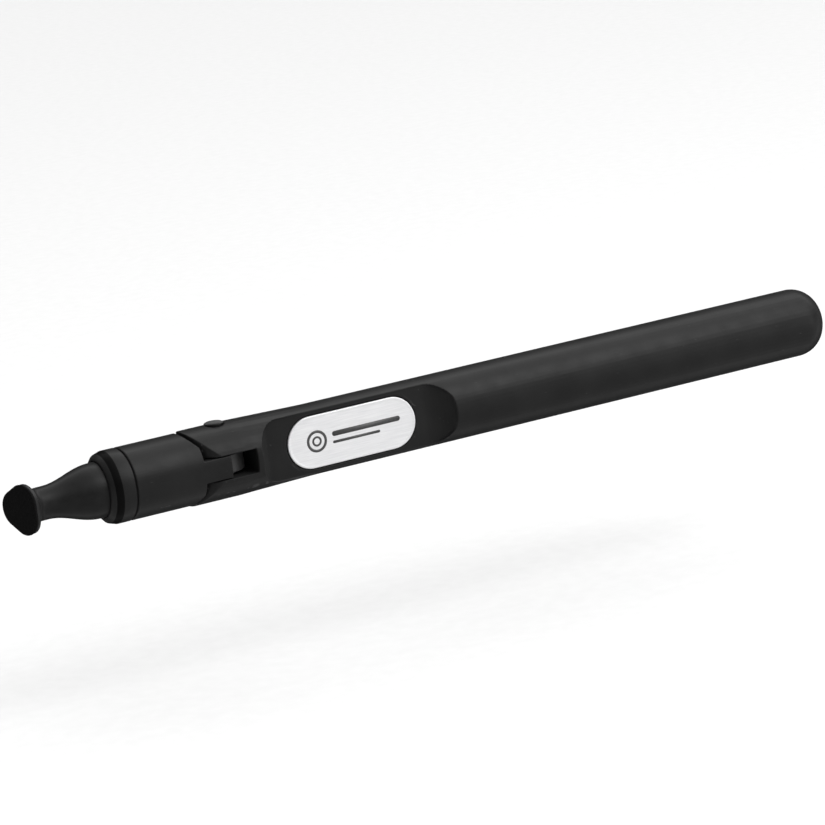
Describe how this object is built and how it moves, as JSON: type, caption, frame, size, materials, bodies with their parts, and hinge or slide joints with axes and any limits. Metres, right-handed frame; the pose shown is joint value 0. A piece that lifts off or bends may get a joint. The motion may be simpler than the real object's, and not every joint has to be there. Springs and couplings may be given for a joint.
{
  "type": "lens cleaning pen",
  "caption": "Slim black lens cleaning pen with a head that bends on a cross pin, a soft rubber neck, a slanted rounded-triangle pad, finger recesses and a silver label plate.",
  "frame": {"origin": "centre of the flat tail end, on the pen's axis", "axes": "+X along the pen from the tip to the tail; -Y is the side with the label; +Z along the hinge pin, towards its raised head"},
  "size_m": [0.1497, 0.012, 0.0127],
  "materials": {
    "black_plastic": "fine matte moulded texture",
    "tang_plastic": "smooth moulded",
    "core_plastic": "smooth moulded",
    "black_pin": "satin black",
    "spring_steel": "plain steel",
    "washer_nylon": "natural nylon",
    "tip_rubber": "soft matte rubber",
    "pad_chamois": "napped chamois",
    "adhesive_film": "thin film",
    "brushed_label": "fine brushed silver"
  },
  "bodies": {
    "handle": {"handle_body": "black_plastic", "tail_plug": "black_plastic", "label_plate": "brushed_label", "label_adhesive": "adhesive_film", "pivot_pin": "black_pin", "spring_washer": "spring_steel", "pin_cap": "black_pin"},
    "head": {"head_barrel": "black_plastic", "hinge_tang": "tang_plastic", "friction_washers": "washer_nylon", "tip_holder": "core_plastic", "collar_ring": "black_plastic", "rubber_boot": "tip_rubber"},
    "tip": {"pad_plate": "core_plastic", "pad_adhesive": "adhesive_film", "cleaning_pad": "pad_chamois"}
  },
  "joints": [
    {"name": "head_pivot", "type": "hinge", "parent": "handle", "child": "head", "pos_m": [-0.1136, 0, 0], "axis": [0, 0, 1], "range_deg": [-45, 45]},
    {"name": "tip_flex", "type": "hinge", "parent": "head", "child": "tip", "pos_m": [-0.1446, 0, 0], "axis": [0, 0, 1], "range_deg": [-12, 12], "stiffness_Nm_per_rad": 0.02, "deforming": ["rubber_boot"]}
  ]
}
